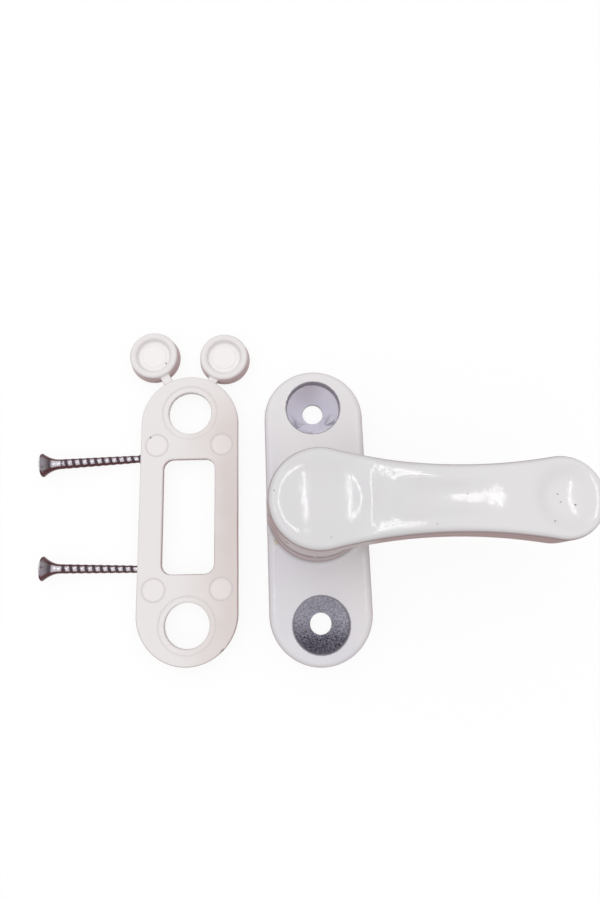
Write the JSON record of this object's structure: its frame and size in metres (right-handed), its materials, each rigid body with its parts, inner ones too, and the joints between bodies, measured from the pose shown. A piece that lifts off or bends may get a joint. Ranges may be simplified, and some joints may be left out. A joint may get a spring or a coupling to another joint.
{
  "type": "window safety lock",
  "caption": "Window safety lock with a swinging lever on a raised boss, shown with its slotted spacer, screw caps and fixing screws.",
  "frame": {"origin": "where the pivot axis meets the back face of the base plate, midway between its two fixing holes", "axes": "+Y along the base plate, +X towards the lever's tip at rest and +Z out of the window frame, away from the back face"},
  "size_m": [0.133, 0.0888, 0.035],
  "materials": {
    "painted_zinc": "glossy white powder coat over die-cast zinc",
    "white_plastic": "moulded, semi-gloss",
    "nylon": "moulded, natural",
    "spring_steel": "zinc-plated",
    "screw_steel": "dark passivated, worn bright on the thread crests"
  },
  "bodies": {
    "base": {"base_plate": "painted_zinc", "thrust_washer": "nylon", "spacer": "white_plastic", "fixing_screw_1": "screw_steel", "fixing_screw_2": "screw_steel"},
    "lever": {"lever": "painted_zinc", "disc_spring_upper": "spring_steel", "disc_spring_lower": "spring_steel", "retaining_washer": "spring_steel", "pivot_screw": "spring_steel"}
  },
  "joints": [
    {"name": "lever_pivot", "type": "hinge", "parent": "base", "child": "lever", "pos_m": [0, 0, 0.021], "axis": [0, 0, 1], "continuous": true}
  ]
}
